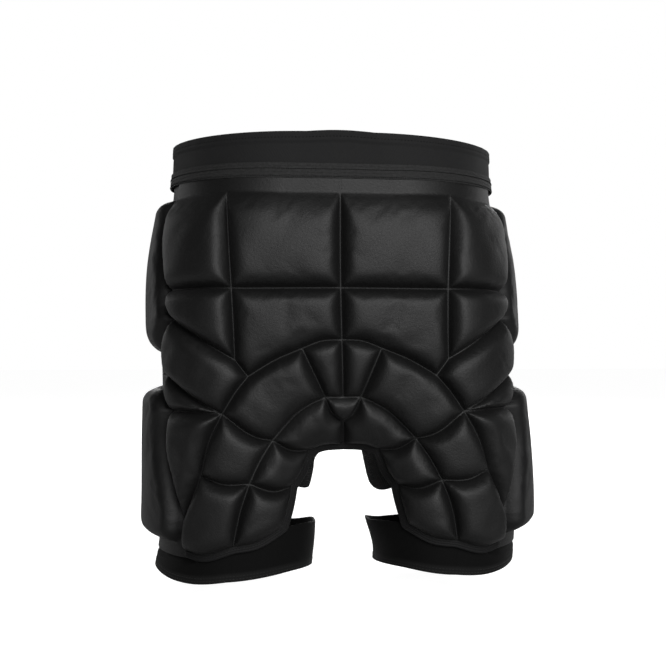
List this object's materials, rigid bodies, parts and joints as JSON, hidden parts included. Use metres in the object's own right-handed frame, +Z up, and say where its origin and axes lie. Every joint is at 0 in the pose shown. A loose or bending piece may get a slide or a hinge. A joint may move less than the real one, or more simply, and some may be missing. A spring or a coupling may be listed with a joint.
{
  "type": "padded hip protection shorts",
  "caption": "Protective shorts with moulded foam blocks over hips, thighs and seat, an elastic waistband, open inner thighs and elastic leg bands.",
  "frame": {"origin": "centre of the waist opening, at the middle of the waistband's height", "axes": "+Z up along the trunk, -Y the way the wearer faces, +X the wearer's left"},
  "size_m": [0.3219, 0.2463, 0.3626],
  "materials": {
    "panel_cloth": "smooth black knit with a soft sheen over foam",
    "side_cloth": "smooth black knit with a soft sheen over foam",
    "elastic": "matte woven elastic",
    "netting": "matte fine netting",
    "tape": "ribbed cover-stitched tape"
  },
  "bodies": {
    "root": {"front_pad": "panel_cloth", "back_pad": "panel_cloth", "hip_pad_right": "side_cloth", "hip_pad_left": "side_cloth", "thigh_pad_right": "side_cloth", "thigh_pad_left": "side_cloth", "leg_band_right": "elastic", "leg_band_left": "elastic", "crotch_gusset": "netting", "front_binding": "tape", "back_binding": "tape", "waistband": "elastic", "waist_tape": "tape"}
  },
  "joints": []
}
